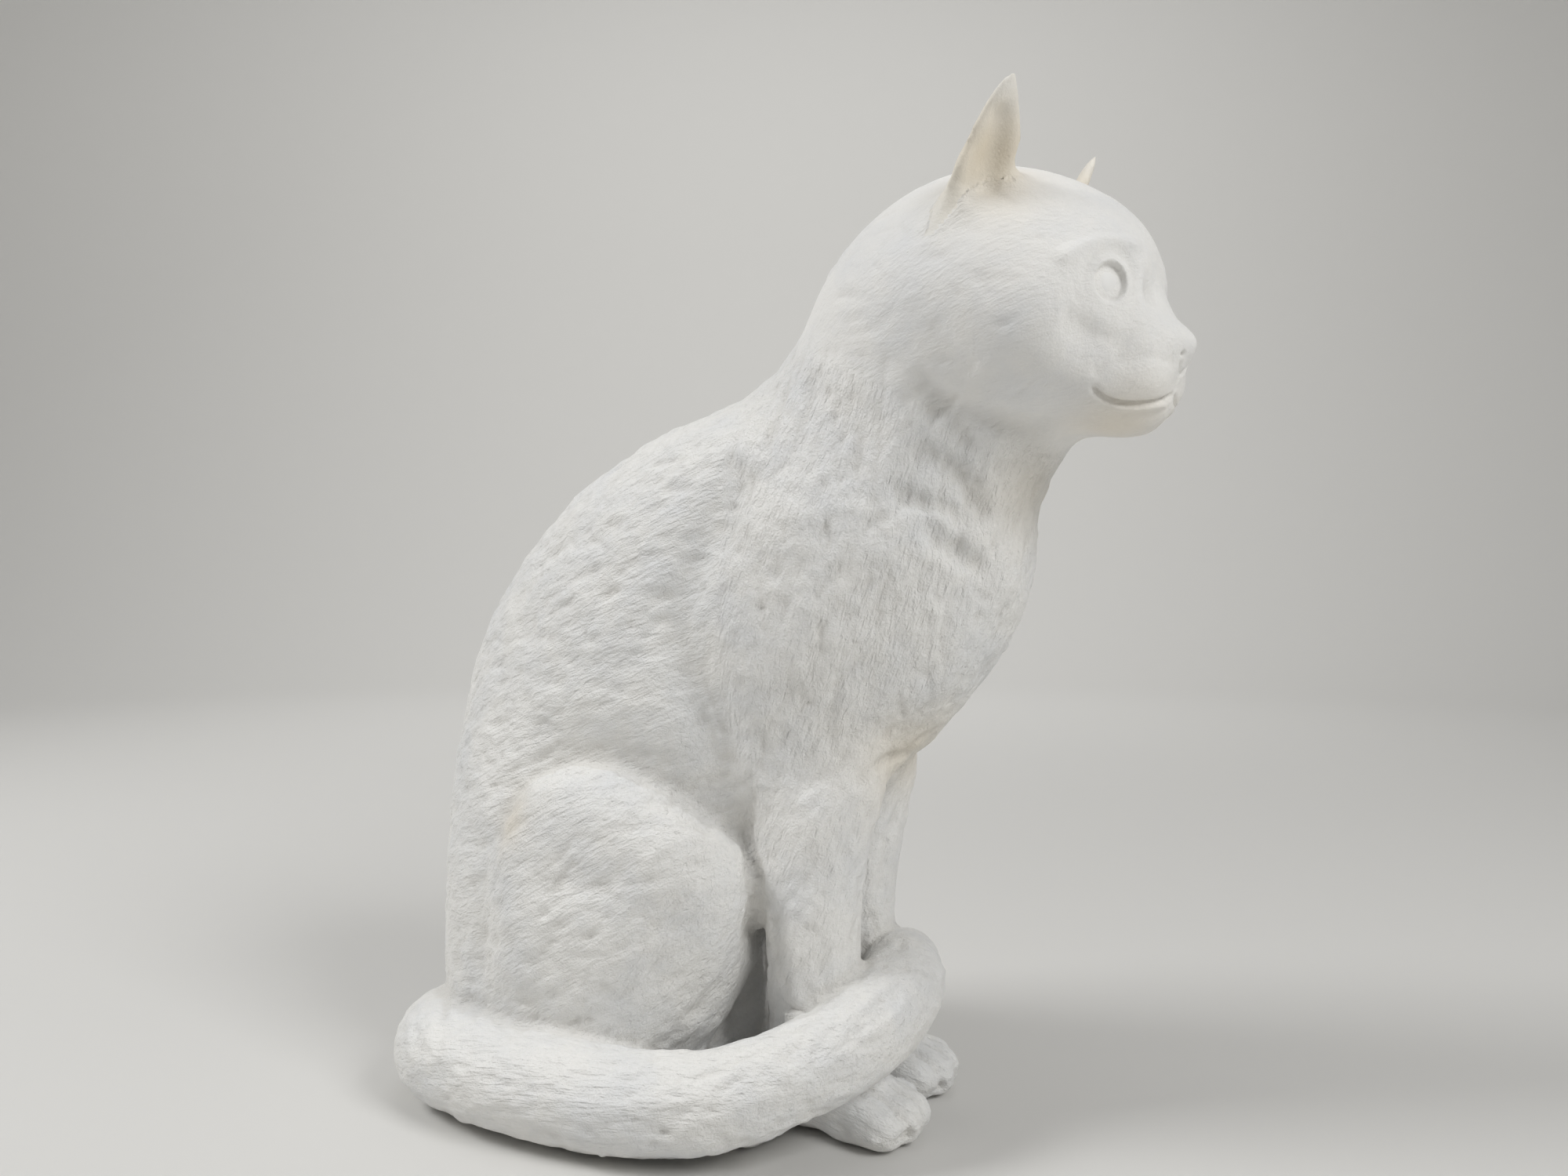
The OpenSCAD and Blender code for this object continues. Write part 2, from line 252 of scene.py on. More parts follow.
class Clay:
    """The whole figure as one dense surface, while it is worked.

    Attributes:
        REACH: how many half widths away a mark is still felt.
        FACING: least cosine between a mark's place and a point that it moves.
        VOTE_ROUNDS: how often the pieces' borders are smoothed.
        OWN_VOTE: weight of a point's own piece among its neighbours'.
        RAISED_SHARE: share of the strokes that stand up instead of cutting in.
        RAISED_HEIGHT: their height, as a share of the others' depth.
    """

    REACH = 2.6
    FACING = -0.1
    VOTE_ROUNDS = 6
    OWN_VOTE = 0.3
    RAISED_SHARE = 0.3
    RAISED_HEIGHT = -0.7

    def __init__(self, grain: float) -> None:
        """Starts with no clay.

        Args:
            grain: spacing of the surface's points, in metres.
        """
        self.grain = grain
        self.names: list[str] = []
        self.mesh: bpy.types.Mesh = bpy.data.meshes.new("clay")
        self.co = np.zeros((0, 3))
        self.normal = np.zeros((0, 3))
        self.edges = np.zeros((0, 2), int)
        self.degree = np.zeros(0)
        self.label = np.zeros(0, int)
        self.tree = KDTree(0)

    def lute(
        self, names: Sequence[str], plug_d: float, plug_h: float, fine_at: np.ndarray, fine_reach: float
    ) -> None:
        """Joins copies of the frame's pieces into one surface with nothing inside.

        Args:
            names: the nodes to join.
            plug_d: diameter of the plug that closes the vent hole while the clay is worked.
            plug_h: the plug's height.
            fine_at: middle of the part that is worked finer.
            fine_reach: how far that part goes.
        """
        self.names = list(names)
        bm = bmesh.new()
        for name in names:
            bm.from_mesh(frame["nodes"][name].data)
        bmesh.ops.remove_doubles(bm, verts=bm.verts[:], dist=1e-6)
        place = Matrix.Translation(Vector((0, 0, plug_h / 2)))
        bmesh.ops.create_cone(
            bm, cap_ends=True, segments=32, radius1=plug_d / 2, radius2=plug_d / 2,
            depth=plug_h, matrix=place,
        )
        obj = placed("rough", mesh_of("rough", bm))
        remesh = obj.modifiers.new("grain", "REMESH")
        remesh.mode = "VOXEL"
        remesh.voxel_size = self.grain
        self.mesh = baked(obj)
        bpy.data.objects.remove(obj)
        self.refine(fine_at, fine_reach)
        self.read()

    def refine(self, at: np.ndarray, reach: float) -> None:
        """Halves the grain where the smallest forms are.

        Args:
            at: middle of the finer clay.
            reach: how far it goes from there, in metres.
        """
        bm = bmesh.new()
        bm.from_mesh(self.mesh)
        heart = Vector(at)
        close_by = [e for e in bm.edges if (e.verts[0].co - heart).length < reach]
        bmesh.ops.subdivide_edges(bm, edges=close_by, cuts=1, use_grid_fill=True)
        bm.to_mesh(self.mesh)
        bm.free()

    def read(self) -> None:
        """Reads the points and edges of the mesh."""
        self.co = gather(self.mesh.vertices, "co", 3, float)
        self.edges = gather(self.mesh.edges, "vertices", 2, np.int32)
        self.degree = np.bincount(self.edges.ravel(), minlength=len(self.co)).astype(float)
        self.settle()

    def settle(self) -> None:
        """Writes the points back to the mesh and reads its normals."""
        self.mesh.vertices.foreach_set("co", self.co.ravel())
        self.mesh.update()
        self.normal = gather(self.mesh.vertex_normals, "vector", 3, np.float32).astype(float)

    def spread(self, values: np.ndarray) -> np.ndarray:
        """The mean of each point's neighbours.

        Args:
            values: one row or number for each point.

        Returns:
            The same shape as values.
        """
        a, b = self.edges.T
        flat = values.reshape(len(values), -1)
        count = len(flat)
        total = [
            np.bincount(a, flat[b, k], count) + np.bincount(b, flat[a, k], count)
            for k in range(flat.shape[1])
        ]
        return (np.stack(total, 1) / self.degree[:, None]).reshape(values.shape)

    def relax(self, weight: np.ndarray, rounds: int) -> None:
        """Smooths the surface as a wet sponge does.

        Args:
            weight: how much each point moves, from 0 to 1.
            rounds: how often it is wiped.
        """
        for _ in range(rounds):
            self.co += weight[:, None] * (self.spread(self.co) - self.co)
        self.settle()

    def mark_pieces(self) -> None:
        """Gives each point the node of the frame that it lies nearest to."""
        corners: list[Vector] = []
        triangles: list[tuple[int, int, int]] = []
        owner: list[int] = []
        for number, name in enumerate(self.names):
            data = frame["nodes"][name].data
            start = len(corners)
            corners.extend(v.co.copy() for v in data.vertices)
            data.calc_loop_triangles()
            for t in data.loop_triangles:
                triangles.append(tuple(start + i for i in t.vertices))
                owner.append(number)
        surface = BVHTree.FromPolygons(corners, triangles)
        self.label = np.array([owner[surface.find_nearest(p)[2]] for p in self.co])
        for name in self.names:
            if family_of(name) is Family.EYE:
                self.label[self.label == self.names.index(name)] = self.names.index("head")
        for _ in range(self.VOTE_ROUNDS):
            shares = [self.spread((self.label == k).astype(float)) for k in range(len(self.names))]
            votes = np.stack(shares, 1)
            votes[np.arange(len(self.label)), self.label] += self.OWN_VOTE
            self.label = votes.argmax(1)

    def of_family(self, *families: Family) -> np.ndarray:
        """Which points belong to pieces of these families."""
        numbers = [i for i, n in enumerate(self.names) if family_of(n) in families]
        return np.isin(self.label, numbers)

    def seam_distance(self, pairs: Iterable[frozenset[Family]], reach: float) -> np.ndarray:
        """Distance of each point to the nearest seam between pieces of the given kinds.

        Args:
            pairs: the two families on either side of the seam.
            reach: distances past this are given as this.

        Returns:
            One distance for each point, in metres.
        """
        wanted = set(pairs)
        kind = [family_of(n) for n in self.names]
        a, b = self.edges.T
        across = np.nonzero(self.label[a] != self.label[b])[0]
        on_seam = [
            e for e in across if frozenset((kind[self.label[a[e]]], kind[self.label[b[e]]])) in wanted
        ]
        if not on_seam:
            return np.full(len(self.co), reach)
        ends = np.unique(self.edges[on_seam])
        return self.distance_to(self.co[ends], reach)

    def distance_to(self, points: np.ndarray, reach: float) -> np.ndarray:
        """Distance of each point of the surface to the nearest of some places.

        Args:
            points: the places, in metres.
            reach: distances past this are given as this.

        Returns:
            One distance for each point of the surface, in metres.
        """
        tree = KDTree(len(points))
        for i, p in enumerate(points):
            tree.insert(p, i)
        tree.balance()
        low, high = points.min(0) - reach, points.max(0) + reach
        near = np.nonzero(((self.co > low) & (self.co < high)).all(1))[0]
        result = np.full(len(self.co), reach)
        result[near] = [min(reach, tree.find(self.co[i])[2]) for i in near]
        return result

    def index(self) -> None:
        """Sorts the points, so that those near a place are found quickly."""
        self.tree = KDTree(len(self.co))
        for i, p in enumerate(self.co):
            self.tree.insert(p, i)
        self.tree.balance()

    def along(self, path: np.ndarray, reach: float) -> tuple[np.ndarray, np.ndarray, np.ndarray]:
        """Points of the surface near a path that is first laid on it.

        Args:
            path: points near the surface, in metres.
            reach: how far from the path to look.

        Returns:
            The points' numbers, their distance to the path, and how far along it they are, from 0 to 1.
        """
        smooth = curve_through(path, self.grain * 2)
        found = [self.tree.find(p)[1] for p in smooth]
        line = self.co[found]
        for _ in range(3):
            line[1:-1] = (line[:-2] + 2 * line[1:-1] + line[2:]) / 4
        facing = self.normal[found]
        low, high = line.min(0) - reach, line.max(0) + reach
        near = np.nonzero(((self.co > low) & (self.co < high)).all(1))[0]
        places = self.co[near]
        best = np.full(len(near), np.inf)
        where = np.zeros(len(near))
        step = np.zeros(len(near), int)
        for k in range(len(line) - 1):
            run = line[k + 1] - line[k]
            length = max(float(run @ run), 1e-12)
            t = np.clip(((places - line[k]) @ run) / length, 0, 1)
            d = np.linalg.norm(places - line[k] - t[:, None] * run, axis=1)
            closer = d < best
            best[closer] = d[closer]
            where[closer] = (k + t[closer]) / (len(line) - 1)
            step[closer] = k
        same_way = (self.normal[near] * facing[step]).sum(1) > self.FACING
        keep = (best < reach) & same_way
        return near[keep], best[keep], where[keep]

    def groove(self, path: np.ndarray, width: float, depth: float, fade: float = 0.15) -> None:
        """Draws a rounded tool along a path, pressing in, or raising a ridge if depth is negative.

        Args:
            path: points near the surface, in metres.
            width: half width of the mark, in metres.
            depth: how deep it goes, in metres.
            fade: share of the path over which it starts and ends.
        """
        near, d, where = self.along(path, self.REACH * width)
        ends = ramp(where, 0, fade) * ramp(1 - where, 0, fade) if fade > 0 else 1.0
        self.co[near] -= self.normal[near] * (depth * falloff(d, width) * ends)[:, None]

    def swell(self, at: np.ndarray, radius: float, height: float) -> None:
        """Raises a soft mound, or presses a hollow if height is negative.

        Args:
            at: a place near the surface, in metres.
            radius: half width of the mound, in metres.
            height: how far it stands out, in metres.
        """
        heart = self.co[self.tree.find(at)[1]]
        facing = self.normal[self.tree.find(at)[1]]
        d = np.linalg.norm(self.co - heart, axis=1)
        near = np.nonzero((d < self.REACH * radius) & (self.normal @ facing > self.FACING))[0]
        self.co[near] += self.normal[near] * (height * falloff(d[near], radius))[:, None]

    def chisel(
        self,
        where: np.ndarray,
        flow: np.ndarray,
        rng: np.random.Generator,
        kind: Strokes,
    ) -> None:
        """Cuts short strokes along the lie of the fur.

        Args:
            where: chance of a stroke at each point, from 0 up.
            flow: the lie of the fur at each point.
            rng: source of the strokes' places.
            kind: the strokes' number and sizes.
        """
        count = kind.count
        length, width, depth = (size * MM for size in (kind.length, kind.width, kind.depth))
        chance = where / where.sum()
        starts = rng.choice(len(self.co), count, p=chance)
        turns = rng.normal(0, kind.spread, count)
        sizes = rng.uniform(0.6, 1.3, (count, 3))
        sign = np.where(rng.random(count) < self.RAISED_SHARE, self.RAISED_HEIGHT, 1.0)
        shift = np.zeros(len(self.co))
        for s, turn, (a, b, c), way in zip(starts, turns, sizes, sign):
            n = self.normal[s]
            t = flow[s] - n * (flow[s] @ n)
            t /= np.linalg.norm(t) + 1e-9
            cross = np.cross(n, t)
            t = t * math.cos(turn) + cross * math.sin(turn)
            cross = np.cross(n, t)
            found = self.tree.find_range(self.co[s], length * a)
            near = np.fromiter((f[1] for f in found), int, len(found))
            away = self.co[near] - self.co[s]
            u, v = away @ t / (length * a), away @ cross / (width * b)
            shift[near] += way * depth * c * np.exp(-(v**2)) * np.clip(1 - u**2, 0, 1)
        self.co -= self.normal * shift[:, None]

    def cut(self, number: int, name: str) -> bpy.types.Object:
        """Cuts one piece's skin from the worked surface.

        Args:
            number: the piece's place in the list of names.
            name: name for the new object.

        Returns:
            The open skin as a new object.
        """
        bm = bmesh.new()
        bm.from_mesh(self.mesh)
        bm.faces.ensure_lookup_table()
        label = self.label
        others = [f for f in bm.faces if label[f.verts[0].index] != number]
        bmesh.ops.delete(bm, geom=others, context="FACES")
        return placed(name, mesh_of(name, bm))

    def note(self, name: str, values: np.ndarray) -> None:
        """Stores a number for each point, for the glaze, the stains and the painted shade to read."""
        layer = self.mesh.attributes.get(name) or self.mesh.attributes.new(name, "FLOAT", "POINT")
        layer.data.foreach_set("value", values.astype(np.float32))

    def note_faces(self, name: str, values: np.ndarray) -> None:
        """Stores a number for each face, taken from its first point, with no blending between faces.

        Args:
            name: the attribute's name.
            values: one number for each point.
        """
        starts = gather(self.mesh.polygons, "loop_start", 1, np.int32)
        corners = gather(self.mesh.loops, "vertex_index", 1, np.int32)
        layer = self.mesh.attributes.new(name, "FLOAT", "FACE")
        layer.data.foreach_set("value", values[corners[starts]].astype(np.float32))

    def note_normals(self) -> None:
        """Stores the surface's own normals, so that cut pieces still shade as one."""
        layer = self.mesh.attributes.new("skin", "FLOAT_VECTOR", "POINT")
        layer.data.foreach_set("vector", self.normal.astype(np.float32).ravel())


def curve_through(points: np.ndarray, spacing: float) -> np.ndarray:
    """A smooth curve through points.

    Args:
        points: the points, in order.
        spacing: distance between the points of the result.

    Returns:
        Points on the curve.
    """
    if len(points) < 3:
        steps = max(2, int(np.linalg.norm(points[-1] - points[0]) / spacing))
        return points[0] + np.linspace(0, 1, steps)[:, None] * (points[-1] - points[0])
    ext = np.vstack([2 * points[0] - points[1], points, 2 * points[-1] - points[-2]])
    made = []
    for a, b, c, d in zip(ext[:-3], ext[1:-2], ext[2:-1], ext[3:]):
        steps = max(2, int(np.linalg.norm(c - b) / spacing))
        t = np.linspace(0, 1, steps, endpoint=False)[:, None]
        square = (2 * a - 5 * b + 4 * c - d) * t**2
        cube = (3 * b - a - 3 * c + d) * t**3
        made.append((2 * b + (c - a) * t + square + cube) / 2)
    made.append(points[-1:])
    return np.vstack(made)


def baked(obj: bpy.types.Object) -> bpy.types.Mesh:
    """An object's mesh with its modifiers applied."""
    graph = bpy.context.evaluated_depsgraph_get()
    return bpy.data.meshes.new_from_object(obj.evaluated_get(graph), depsgraph=graph)


MIX_FACTOR = 0
MIX_FIRST = 6
MIX_SECOND = 7
MIX_RESULT = 2


def add_node(
    tree: bpy.types.NodeTree,
    kind: str,
    settings: Optional[dict[object, object]] = None,
    links: Optional[dict[object, bpy.types.NodeSocket]] = None,
) -> bpy.types.Node:
    """Adds a node with its settings and links.

    Args:
        tree: the material's node tree.
        kind: the node's type.
        settings: values by property name, or by input name or number where the node has such an input.
        links: sockets that feed its inputs, by input name or number.

    Returns:
        The new node.
    """
    node = tree.nodes.new(kind)
    for key, value in (settings or {}).items():
        if isinstance(key, int) or key in node.inputs:
            node.inputs[key].default_value = value
        else:
            setattr(node, key, value)
    for key, source in (links or {}).items():
        tree.links.new(source, node.inputs[key])
    return node


@dataclass(frozen=True)
class Bisque:
    """Bisque: cast and hand-modelled earthenware, fired once, brushed with white slip and left unglazed.

    The matt slip scatters light evenly, pools a little cooler and greyer where the brush left it thin,
    is darkened by painted shade and dust in its tool marks and creases, and shows a cream body where it wore
    off.
    """

    name: str
    white: str = "#f2f1ee"
    cool: str = "#e7e8e9"
    cream: str = "#e8dcc6"
    # darker colour laid into tool marks and creases: painted shade, with some dust
    dust_and_shade: str = "#bfbab0"
    roughness: float = 0.6
    patch_mm: float = 24.0
    stroke_mm: float = 1.3
    stroke_length: float = 4.5
    lump_mm: float = 4.2
    pore_mm: float = 0.6
    relief_mm: float = 0.8

    def make(self) -> bpy.types.Material:
        """Builds the material.

        Returns:
            The material, ready for a slot.
        """
        material = bpy.data.materials.new(self.name)
        material.use_nodes = True
        tree = material.node_tree
        tree.nodes.clear()
        place = add_node(tree, "ShaderNodeTexCoord").outputs["Object"]
        patches = add_node(
            tree, "ShaderNodeTexNoise",
            {"Scale": 1 / (self.patch_mm * MM), "Detail": 4.0, "Roughness": 0.6}, {"Vector": place},
        )
        patchy = add_node(
            tree, "ShaderNodeMapRange",
            {"From Min": 0.42, "From Max": 0.68, "To Min": 0.0, "To Max": 0.8},
            {"Value": patches.outputs["Fac"]},
        )
        lie = add_node(tree, "ShaderNodeAttribute", {"attribute_name": "lie"})
        turned = add_node(
            tree, "ShaderNodeVectorRotate", {"rotation_type": "Y_AXIS", "invert": True},
            {"Vector": place, "Angle": lie.outputs["Fac"]},
        )
        brushed = add_node(
            tree, "ShaderNodeMapping", {"Scale": (1.0, 1.0, 1 / self.stroke_length)},
            {"Vector": turned.outputs["Vector"]},
        )
        strokes = add_node(
            tree, "ShaderNodeTexNoise",
            {"Scale": 1 / (self.stroke_mm * MM), "Detail": 3.0, "Roughness": 0.55, "Distortion": 0.3},
            {"Vector": brushed.outputs["Vector"]},
        )
        lumps = add_node(
            tree, "ShaderNodeTexNoise",
            {"Scale": 1 / (self.lump_mm * MM), "Detail": 3.0, "Roughness": 0.5}, {"Vector": place},
        )
        pores = add_node(
            tree, "ShaderNodeTexNoise", {"Scale": 1 / (self.pore_mm * MM), "Detail": 2.0}, {"Vector": place}
        )
        base = add_node(
            tree, "ShaderNodeMix",
            {"data_type": "RGBA", MIX_FIRST: linear(self.white), MIX_SECOND: linear(self.cool)},
            {MIX_FACTOR: patchy.outputs["Result"]},
        )
        warm = add_node(tree, "ShaderNodeAttribute", {"attribute_name": "cream"})
        creamy = add_node(
            tree, "ShaderNodeMix", {"data_type": "RGBA", MIX_SECOND: linear(self.cream)},
            {MIX_FACTOR: warm.outputs["Fac"], MIX_FIRST: base.outputs[MIX_RESULT]},
        )
        # the hollow attribute sets where painted shade and dust darken the coat, most in creases and tool
        # marks
        deep = add_node(tree, "ShaderNodeAttribute", {"attribute_name": "hollow"})
        uneven = add_node(
            tree, "ShaderNodeMapRange", {"From Min": 0.3, "From Max": 0.65, "To Min": 0.6, "To Max": 1.0},
            {"Value": strokes.outputs["Fac"]},
        )
        shade_and_dust = add_node(
            tree, "ShaderNodeMath", {"operation": "MULTIPLY"},
            {0: deep.outputs["Fac"], 1: uneven.outputs["Result"]},
        )
        # mixes in the painted shade and dust over the creamy white
        shaded_and_dusty = add_node(
            tree, "ShaderNodeMix", {"data_type": "RGBA", MIX_SECOND: linear(self.dust_and_shade)},
            {MIX_FACTOR: shade_and_dust.outputs["Value"], MIX_FIRST: creamy.outputs[MIX_RESULT]},
        )
        coat = add_node(tree, "ShaderNodeAttribute", {"attribute_name": "coat"})
        relief = None
        layers = ((lumps, 0.9), (strokes, 1.1), (pores, 0.35))
        for texture, share in layers:
            height = add_node(
                tree, "ShaderNodeMath", {"operation": "MULTIPLY"},
                {0: texture.outputs["Fac"], 1: coat.outputs["Fac"]},
            )
            under = {"Normal": relief.outputs["Normal"]} if relief else {}
            relief = add_node(
                tree, "ShaderNodeBump", {"Strength": 0.9, "Distance": self.relief_mm * share * MM},
                {"Height": height.outputs["Value"], **under},
            )
        shader = add_node(
            tree, "ShaderNodeBsdfPrincipled",
            {"Roughness": self.roughness, "IOR": 1.5},
            {"Base Color": shaded_and_dusty.outputs[MIX_RESULT], "Normal": relief.outputs["Normal"]},
        )
        add_node(tree, "ShaderNodeOutputMaterial", None, {"Surface": shader.outputs["BSDF"]})
        return material


@dataclass(frozen=True)
class StudioFloor:
    """Painted board: a flat pale paint, rolled on, which takes a soft shadow and no reflection."""

    colour: str = "#dddcd9"
    roughness: float = 0.9

    def make(self) -> bpy.types.Material:
        """Builds the material.

        Returns:
            The material of the floor.
        """
        material = bpy.data.materials.new("painted_board")
        material.use_nodes = True
        shader = material.node_tree.nodes["Principled BSDF"]
        shader.inputs["Base Color"].default_value = linear(self.colour)
        shader.inputs["Roughness"].default_value = self.roughness
        return material


@dataclass
class Face:
    """The head's front, worked on axes that start between the eyes, with sizes in millimetres."""

    axes: Axes
    eye_at: Point = (1.0, 19.5, 0.0)
    eye_around: float = 11.0
    eye_half: tuple[float, float] = (4.3, 5.1)
    ball_heart: float = 1.9
    lid_slant: float = 14.0
    rim_steps: tuple[float, ...] = (0.0, 0.9, 1.0, 1.14, 1.3, 1.7, 2.3, 3.0)
    rim_above: tuple[float, ...] = (-2.6, -2.6, -2.4, -0.5, -1.0, -1.4, -0.5, 0.0)
    rim_below: tuple[float, ...] = (-2.6, -2.4, -1.6, -0.7, -0.6, -0.35, 0.0, 0.0)
    eye_hearts: dict[Side, tuple[np.ndarray, ...]] = field(default_factory=dict)

    def mounds(self, clay: Clay) -> None:
        """Builds up the cheeks, brows, whisker pads and chin, and presses the hollows between them.

        Args:
            clay: the worked figure.
        """
        masses: list[tuple[Point, float, float]] = [
            ((-20, 36, -12), 16, 1.4),
            ((0, 16, 15), 8, 0.7),
            ((8.5, 10.5, -1), 4.4, -2.2),
            ((-2, 27, -15), 7, -1.3),
            ((12, 11, -25), 7.0, 2.3),
            ((8, 15, -26), 5.0, 0.9),
            ((19, 2, -13), 4.0, 0.9),
            ((-6, 22, -37), 9, -1.0),
        ]
        for side in Side:
            for at, radius, height in masses:
                clay.swell(self.axes.place([at], side)[0], radius * MM, height * MM)
        clay.swell(self.axes.place([(12, 0, -34)])[0], 6.5 * MM, 1.6 * MM)
        clay.swell(self.axes.place([(22, 0, -14)])[0], 3.5 * MM, 0.8 * MM)
        clay.settle()

    def lines(self, clay: Clay) -> None:
        """Draws the brows, the whisker pads, the mouth and the folds below the jaw.

        Args:
            clay: the worked figure.
        """
        marks: list[tuple[Path, float, float]] = [
            ([(-9, 32, 4), (-3, 28, 8.5), (2, 23, 10.3), (6, 17, 11), (10, 10, 11)], 2.8, -1.1),
            ([(-7, 32, -9), (-1, 28, -12), (4, 22, -15), (9, 18, -18)], 3.4, 0.6),
            ([(18, 4, -20.5), (15, 10, -19), (11, 15, -18.5), (6, 20, -19.5), (2, 24, -22.5), (0, 25, -26)],
             2.2, 0.5),
            ([(15, 0, -27), (13, 3, -28), (11, 9, -29.5), (7, 13, -31), (3, 17, -31), (0, 21, -29),
              (-1, 23, -26)], 0.8, 2.0),
            ([(14, 2, -29.8), (11, 9, -31.6), (6.5, 14, -33), (2, 18.5, -32.6)], 1.1, -0.6),
            ([(12, 3, -32.5), (9, 9, -35), (4, 14, -36.5)], 2.0, 0.25),
            ([(-48, 33, -18), (-42, 34, -27), (-32, 29, -33), (-22, 22, -36), (-12, 10, -39)], 4.6, 2.0),
            ([(-40, 36, -6), (-36, 37, -16), (-28, 34, -24)], 4.0, 0.6),
        ]
        for side in Side:
            for path, width, depth in marks:
                clay.groove(self.axes.place(path, side), width * MM, depth * MM)
        clay.settle()
        for side in Side:
            clay.swell(self.axes.place([(18.5, 4.6, -17.6)], side)[0], 0.75 * MM, -1.9 * MM)
            clay.groove(self.axes.place([(19, 4.6, -19.4), (18.5, 3, -21.2), (17, 0.8, -22.4)], side),
                        0.7 * MM, 0.8 * MM)
        clay.groove(self.axes.place([(18, 0, -21), (16, 0, -24), (15, 0, -27)]), 0.7 * MM, 0.9 * MM)
        clay.settle()

    def ears(self, clay: Clay) -> None:
        """Rolls the front of each ear open, raises its rim and runs its back down to the nape.

        Args:
            clay: the worked figure.
        """
        for side in Side:
            clay.groove(self.axes.place([(-21, 35, 50), (-21, 34, 42), (-23, 33, 34), (-27, 32, 24)], side),
                        3.2 * MM, 1.7 * MM, 0.2)
            clay.groove(self.axes.place([(-28, 39, 38), (-31, 37, 28), (-31, 38, 16)], side),
                        1.8 * MM, -0.8 * MM, 0.3)
        clay.settle()
        clay.relax(np.where(clay.of_family(Family.EAR), 0.3, 0.0), 3)

    def sockets(self, clay: Clay) -> None:
        """Presses a socket round each eye, with the lids' rim and the crease that the ball sits in.

        Args:
            clay: the worked figure.
        """
        for side in Side:
            heart, out, across, up = self.eye_axes(clay, side)
            away = clay.co - heart
            tilt = math.radians(self.lid_slant) * side.value
            sideways, upward = away @ across, away @ up
            a = (sideways * math.cos(tilt) + upward * math.sin(tilt)) / (self.eye_half[0] * MM)
            b = (upward * math.cos(tilt) - sideways * math.sin(tilt)) / (self.eye_half[1] * MM)
            rho = np.hypot(a, b)
            near = np.nonzero((rho < 3.2) & (np.abs(away @ out) < 9 * MM) & (clay.normal @ out > 0.0))[0]
            ring = near[(rho[near] > 2.0) & (rho[near] < 2.9)]
            terms = np.stack([np.ones(len(a)), a, b, a * a, a * b, b * b], 1)
            fit, *_ = np.linalg.lstsq(terms[ring], (away @ out)[ring], rcond=None)
            base = terms[near] @ fit
            upper = ramp(b[near] / np.maximum(rho[near], 1e-6), -0.8, 0.7)
            above = np.interp(rho[near], self.rim_steps, self.rim_above)
            below = np.interp(rho[near], self.rim_steps, self.rim_below)
            wanted = base + (upper * above + (1 - upper) * below) * MM
            share = 1 - ramp(rho[near], 1.9, 2.9)
            clay.co[near] += out * ((wanted - (away @ out)[near]) * share)[:, None]
            self.eye_hearts[side] = (heart + out * (fit[0] - self.ball_heart * MM), out, across, up)
        clay.settle()

    def eye_axes(self, clay: Clay, side: Side) -> tuple[np.ndarray, np.ndarray, np.ndarray, np.ndarray]:
        """Where an eye sits on the clay.

        Args:
            clay: the worked figure.
            side: which eye.

        Returns:
            Its middle, and unit vectors outwards, across and up.
        """
        middle = self.axes.place([self.eye_at], side)[0]
        heart = clay.co[clay.tree.find(middle)[1]]
        around = np.linalg.norm(clay.co - heart, axis=1) < self.eye_around * MM
        out = clay.normal[around].mean(0)
        out /= np.linalg.norm(out)
        across = np.cross((0.0, 0.0, 1.0), out)
        across /= np.linalg.norm(across)
        return heart, out, across, np.cross(out, across)


@dataclass
class Neck:
    """The folds and combed fur of the neck, in millimetres in the frame."""

    axes: Axes
    folds: tuple[tuple[Path, float, float], ...] = (
        (((91, 37, 216), (96, 35, 209), (101, 32, 203), (106, 27, 197)), 3.4, 2.0),
        (((85, 37, 205), (90, 34, 199), (95, 32, 197), (100, 28, 192), (102, 26, 187), (108, 19, 179)),
         3.6, 3.1),
        (((81, 37, 194), (84, 36, 187), (90, 33, 185), (95, 31, 185), (98, 28, 183), (103, 24, 177)),
         2.6, 2.2),
        (((86, 35, 182), (93, 31, 175), (99, 27, 171), (107, 18, 164)), 3.2, 2.4),
    )
    fold_fade: float = 0.28
    comb_count: int = 13

    def work(self, clay: Clay) -> None:
        """Presses the folds and combs the nape.

        Args:
            clay: the worked figure.
        """
        for side in Side:
            for path, width, depth in self.folds:
                clay.groove(self.axes.place(path, side), width * MM, depth * MM, self.fold_fade)
        clay.settle()
        rng = np.random.default_rng(SEED)
        for side in Side:
            for k in range(self.comb_count):
                t = k / (self.comb_count - 1)
                wave = rng.uniform(-1.5, 1.5, 4)
                path = [
                    (38 + 42 * t + wave[0], 22 + 16 * t, 236 - 4 * t),
                    (40 + 38 * t + wave[1], 28 + 12 * t, 220 - 6 * t),
                    (40 + 36 * t + wave[2], 32 + 8 * t, 204 - 8 * t),
                    (38 + 38 * t + wave[3], 36 + 3 * t, 188 - 6 * t),
                ]
                width = rng.uniform(1.2, 1.9) * MM
                depth = rng.uniform(0.6, 1.3) * MM
                clay.groove(self.axes.place(path, side), width, depth, 0.3)
        clay.settle()


